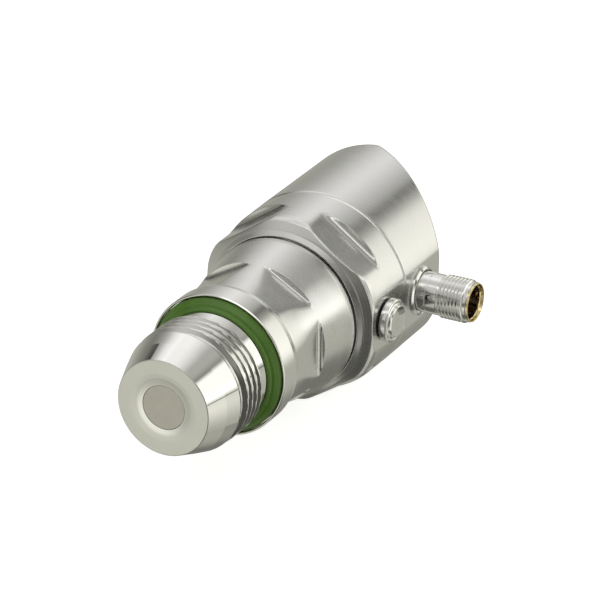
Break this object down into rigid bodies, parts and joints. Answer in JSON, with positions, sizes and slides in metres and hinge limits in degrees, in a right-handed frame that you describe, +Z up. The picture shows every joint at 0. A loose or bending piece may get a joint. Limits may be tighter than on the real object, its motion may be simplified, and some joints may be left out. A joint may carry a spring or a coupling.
{
  "type": "pressure sensor",
  "caption": "Flush pressure sensor with a threaded polished nose and moulded profile seal, flared neck, round housing that turns, inclined display head, side connector and vent.",
  "frame": {"origin": "centre of the flange's metal seat, where the sensor meets the vessel, on the sensor axis", "axes": "+Y along the sensor axis from the process side to the display head, +X towards the connector and vent, +Z up"},
  "size_m": [0.0671, 0.1312, 0.0522],
  "materials": {
    "steel_polished": "mirror-polished and fine-turned stainless steel",
    "steel_satin": "satin, bead-blasted and turned stainless steel",
    "spring_steel": "plain hardened steel",
    "seal_green": "smooth moulded elastomer, slight sheen",
    "rubber_black": "matte moulded rubber",
    "ceramic": "matte lapped ceramic",
    "plastic_dark": "moulded, fine texture",
    "plastic_light": "moulded, smooth",
    "panel_plastic": "fine-textured front foil on moulded plastic",
    "button_plastic": "soft-touch moulded caps",
    "board": "solder-masked glass-fibre board",
    "lens": "clear, gloss",
    "gold": "gold-plated, polished"
  },
  "bodies": {
    "sensor_base": {"process_fitting": "steel_polished", "profile_seal": "seal_green", "measuring_cell": "ceramic", "cell_gasket": "rubber_black", "cell_backing_ring": "plastic_dark", "cell_clamp_nut": "steel_satin", "cell_board": "board", "cell_lead": "plastic_dark", "neck_body": "steel_satin", "neck_o_ring": "rubber_black", "slide_washer": "plastic_light", "retaining_ring": "spring_steel", "stop_pin": "spring_steel"},
    "housing": {"lower_housing": "steel_satin", "head_shell": "steel_satin", "housing_seal": "rubber_black", "vent_cap": "steel_polished", "vent_seal": "rubber_black", "vent_membrane": "plastic_light", "connector_shell": "steel_polished", "connector_gasket": "steel_polished", "connector_mouth_ring": "gold", "connector_insert": "plastic_dark", "connector_pins": "gold", "front_panel": "panel_plastic", "display_lens": "lens", "panel_gasket": "rubber_black", "display_board": "board", "display_module": "plastic_dark", "tactile_switches": "plastic_dark", "board_spacers": "plastic_light", "board_carrier": "plastic_dark", "main_board": "board", "carrier_screws": "spring_steel"},
    "set_key": {"button_set": "button_plastic"},
    "enter_key": {"button_enter": "button_plastic"}
  },
  "joints": [
    {"name": "housing_turn", "type": "hinge", "parent": "sensor_base", "child": "housing", "pos_m": [0, 0.041, 0], "axis": [0, 1, 0], "range_deg": [-172.5, 172.5]},
    {"name": "set_press", "type": "slide", "parent": "housing", "child": "set_key", "axis": [-0.5417, -0.8406, 0], "range_m": [0, 0.0005], "stiffness_N_per_m": 1500, "springref_m": -0.0003},
    {"name": "enter_press", "type": "slide", "parent": "housing", "child": "enter_key", "axis": [-0.5417, -0.8406, 0], "range_m": [0, 0.0005], "stiffness_N_per_m": 1500, "springref_m": -0.0003}
  ]
}
